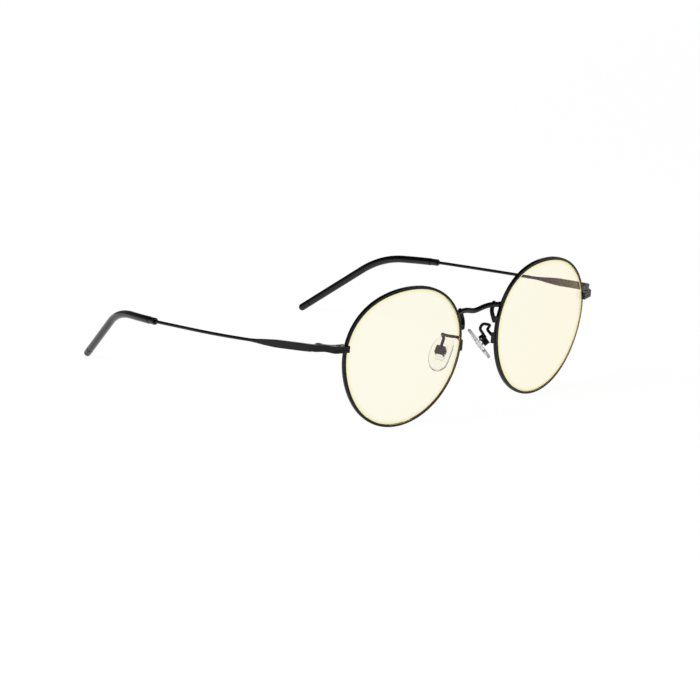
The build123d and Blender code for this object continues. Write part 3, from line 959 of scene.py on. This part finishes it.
@dataclass(frozen=True)
class NosePad:
    """A pad, its insert, and the box and arm that hold it off the rim."""

    eyewire: Eyewire
    centre: tuple[float, float, float] = (9.75, 5.4, -4.9)
    lengthways: tuple[float, float, float] = (-0.59, 0.222, 0.776)
    facing: tuple[float, float, float] = (-0.68, 0.382, -0.626)
    half_width: float = 4.3
    half_length: float = 7.1
    flat: float = 3.5  # the front side of the pad is cut straight here
    squareness: float = 12.0  # how closely the straight side and the oval meet
    thickness: float = 1.5
    edge_round: float = 0.62
    crown: float = 0.28
    back: float = 1.4  # rocking axis to the back of the pad
    axis_behind: float = 2.1  # pad's middle to the rocking axis
    arm_radius: float = 0.55
    arm_corners: tuple[tuple[float, float, float], ...] = (
        (8.2, -2.5, 0.5), (7.8, 0.0, 2.3), (11.4, 2.1, 2.9), (10.7, 5.3, 2.6), (9.4, 5.2, 0.9))
    arm_radii: tuple[float, ...] = (0.9, 1.3, 1.2, 0.9)
    arm_hint: tuple[float, float, float] = (0.577, -0.577, 0.577)
    foot: tuple[float, float, float] = (8.2, -2.75, 0.0)
    foot_size: tuple[float, float, float] = (1.4, 1.0, 4.0)
    bite: float = 0.05  # how far the foot goes into the rim
    box_base: float = -1.35
    arm_into_box: float = 0.2
    arm_along: float = 0.6
    grain: float = 0.075
    rounds: int = 5

    def axes(self) -> tuple[Array, Array, Array]:
        """The pad's directions: along its rocking axis, lengthways, and out of its face."""
        along, face = (np.array(v) / np.linalg.norm(v) for v in (self.lengthways, self.facing))
        rock = np.cross(along, face)
        rock /= np.linalg.norm(rock)
        return rock, np.cross(face, rock), face

    def outline(self, t: Array) -> Array:
        """Distance of the pad's edge from its middle at angle t.

        It is the soft minimum of an oval and a straight side: each one's distance to a high
        negative power, added, and the root of the sum.
        """
        oval = 1 / np.hypot(np.cos(t) / self.half_width, np.sin(t) / self.half_length)
        straight = self.flat / np.maximum(np.cos(t), 1e-3)
        return (oval ** -self.squareness + straight ** -self.squareness) ** (-1 / self.squareness)

    def pad(self) -> Shell:
        """A crowned form with a full round edge.

        Out from the middle, both faces fall by the crown times the square of the share of the way,
        and the edge is a half circle.
        """
        rock, along, face = self.axes()
        origin = np.array(self.centre) - face * self.axis_behind
        half, edge = self.thickness / 2, self.edge_round
        share = np.concatenate([np.linspace(0.03, 1, 22), np.ones(14), np.linspace(1, 0.03, 22)])
        turn = np.concatenate([np.zeros(22), np.linspace(0, pi, 16)[1:-1], np.full(22, pi)])
        t = np.linspace(0, 2 * pi, 160, endpoint=False)
        reach = self.outline(t)
        out = (reach - edge) * share[:, None] + (edge * np.sin(turn))[:, None]
        fall = self.crown * share**2 * (turn < pi / 2)
        lift = self.back + half + (half - edge) * np.cos(turn) + edge * np.cos(turn) - fall
        grid = (origin + (out * np.cos(t))[..., None] * rock + (out * np.sin(t))[..., None] * along
                + lift[:, None, None] * face)
        return skin(grid)

    def arm(self) -> Shell:
        """The arm's wire and its soldered foot, fused and held off the rim."""
        _, along, face = self.axes()
        rock_centre = np.array(self.centre) - face * self.axis_behind
        end = rock_centre + face * (self.box_base + self.arm_into_box) + along * self.arm_along
        path = Route((*self.arm_corners, tuple(end)), self.arm_radii)
        bent = wire(path, 0, path.length(), self.arm_radius, np.array(self.arm_hint), pitch=0.08)
        foot = solder_block(self.foot, self.foot_size)
        whole = fused(united([bent, foot]), self.grain, self.rounds)
        near = np.abs(self.eyewire.polar(whole.points)[2]) < self.eyewire.depth / 2 + self.bite
        kept = np.where(near[:, None], self.eyewire.held_off(whole.points, self.bite), whole.points)
        return whole.on(kept)

    def build(self, side: Side) -> None:
        """Makes one side's pad and arm, softens its box and dresses its insert and screw."""
        unit = f"{side.named('nose_pad')}_unit"
        pad, arm, box = side.named("nose_pad"), side.named("pad_arm"), side.named("pad_box")
        Piece(f"{pad}_moulding", self.pad().placed(side), CLEAR_VINYL, unit, "pad", (pad,)).build()
        Piece(f"{arm}_wire", self.arm().placed(side), BLACK_LACQUER, "front", "frame_metal", (arm,)).build()
        lacquer(box, "front", self.grain, self.rounds)
        dress(side.named("pad_core"), CLEAR_INSERT)
        dress(side.named("pad_screw"), BLACK_STEEL)


# ---- studio

@dataclass(frozen=True)
class Softbox:
    """A square lamp that faces the glasses: where it is and its side in metres, and its power in watts."""

    name: str
    place: tuple[float, float, float]
    side: float
    power: float

    def build(self) -> None:
        """Adds the lamp. It lights the glasses and shows in their gloss, but not in the picture."""
        lamp = bpy.data.lights.new(self.name, "AREA")
        lamp.size, lamp.energy = self.side, self.power
        made = added(self.name, lamp)
        made.location = self.place
        made.visible_camera = False
        made.rotation_euler = (-Vector(self.place)).to_track_quat("-Z", "Y").to_euler()


@dataclass(frozen=True)
class Studio:
    """A pale floor, soft light and the camera."""

    azimuth: float = -43.59  # degrees round from the front, and above the table
    elevation: float = 14.55
    roll: float = 0.74
    aim: tuple[float, float, float] = (-31.93, -43.38, 21.91)
    distance: float = 1289.8
    lens: float = 186.77  # focal length on a sensor 36 mm wide
    floor_radius: float = 8.0  # metres
    floor_points: int = 96
    floor_colour: str = "#8c8c8c"
    floor_glow: float = 0.95  # added to the light that the floor sends back
    horizon: float = 0.24  # brightness of the walls round the table
    zenith: float = 0.04  # brightness of the dark ceiling
    wall_top: tuple[float, float] = (0.28, 0.5)  # sines of the elevations where the wall fades out
    softboxes: tuple[Softbox, ...] = (Softbox("side_softbox", (-0.85, 0.1, 0.75), 0.8, 2.8),
                                      Softbox("back_softbox", (1.1, 1.15, 0.5), 0.5, 0.9))

    def floor(self) -> None:
        """A wide matt disc just under the tips and the rims, which glows as paper lit from below does.

        The glow makes it evenly white and leaves hardly any shadow on it.
        """
        low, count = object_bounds()[0].z, self.floor_points
        ring = np.concatenate([circle(count) * self.floor_radius, np.full((count, 1), low)], -1)
        index = np.arange(count)
        fan = np.stack([np.full(count, count), index, np.roll(index, -1)], -1)
        points = np.concatenate([ring, [[0, 0, low]]])
        mesh = plain_mesh("paper_floor", Shell(points, np.empty((0, 4), int), fan, np.zeros(count + 1)))
        paper = bpy.data.materials.new("backlit_white_paper")
        paper.use_nodes = True
        surface = paper.node_tree.nodes["Principled BSDF"]
        finish = {"Base Color": linear(self.floor_colour), "Roughness": 0.9, "Specular IOR Level": 0.1,
                  "Emission Color": linear("#ffffff"), "Emission Strength": self.floor_glow}
        for socket, value in finish.items():
            surface.inputs[socket].default_value = value
        mesh.materials.append(paper)
        made = added("paper_floor", mesh)
        made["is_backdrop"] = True

    def light(self) -> None:
        """Walls under a dark ceiling, a softbox on the wearer's right and one behind them on the left.

        The walls' brightness depends on the sine of the elevation alone.
        """
        world = bpy.data.worlds.new("studio_walls")
        world.use_nodes = True
        tree = world.node_tree
        way = add_node(tree, "SeparateXYZ",
                       links={"Vector": add_node(tree, "TexCoord").outputs["Generated"]})
        fade = add_node(tree, "MapRange",
                        {"interpolation_type": "SMOOTHSTEP", "From Min": self.wall_top[0],
                         "From Max": self.wall_top[1], "To Min": self.horizon, "To Max": self.zenith},
                        {"Value": way.outputs["Z"]})
        tree.links.new(fade.outputs["Result"], tree.nodes["Background"].inputs["Strength"])
        tree.nodes["Background"].inputs["Color"].default_value = linear("#ffffff")
        bpy.context.scene.world = world
        for softbox in self.softboxes:
            softbox.build()

    def camera(self) -> None:
        """Places the camera at its distance from the aim, turned by azimuth, elevation and roll."""
        a, e = radians(self.azimuth), radians(self.elevation)
        back = Vector((sin(a) * cos(e), -cos(a) * cos(e), sin(e)))
        right = Vector((0, 0, 1)).cross(back).normalized()
        level = Matrix((right, back.cross(right), back)).transposed()
        data = bpy.data.cameras.new("camera")
        data.lens, data.sensor_width = self.lens, 36.0
        data.clip_start, data.clip_end = 0.05, 50.0
        made = added("camera", data)
        turned = level @ Matrix.Rotation(radians(self.roll), 3, "Z")
        place = Matrix.Translation((Vector(self.aim) + back * self.distance) * MM)
        made.matrix_world = place @ turned.to_4x4()
        bpy.context.scene.camera = made

    def build(self) -> None:
        """Sets up floor, light and camera."""
        self.floor()
        self.light()
        self.camera()
        bpy.context.scene.view_settings.view_transform = "Standard"


def main() -> None:
    """Builds the glasses round the frame, then the studio."""
    logging.basicConfig(level=logging.INFO, format="%(name)s: %(message)s")
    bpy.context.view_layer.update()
    eyewire = Eyewire()
    Bridge(eyewire).build()
    for side in Side:
        eyewire.build(side)
        Endpiece().build(side)
        Temple().build(side)
        NosePad(eyewire).build(side)
    Studio().build()


if __name__ == "__main__":
    main()
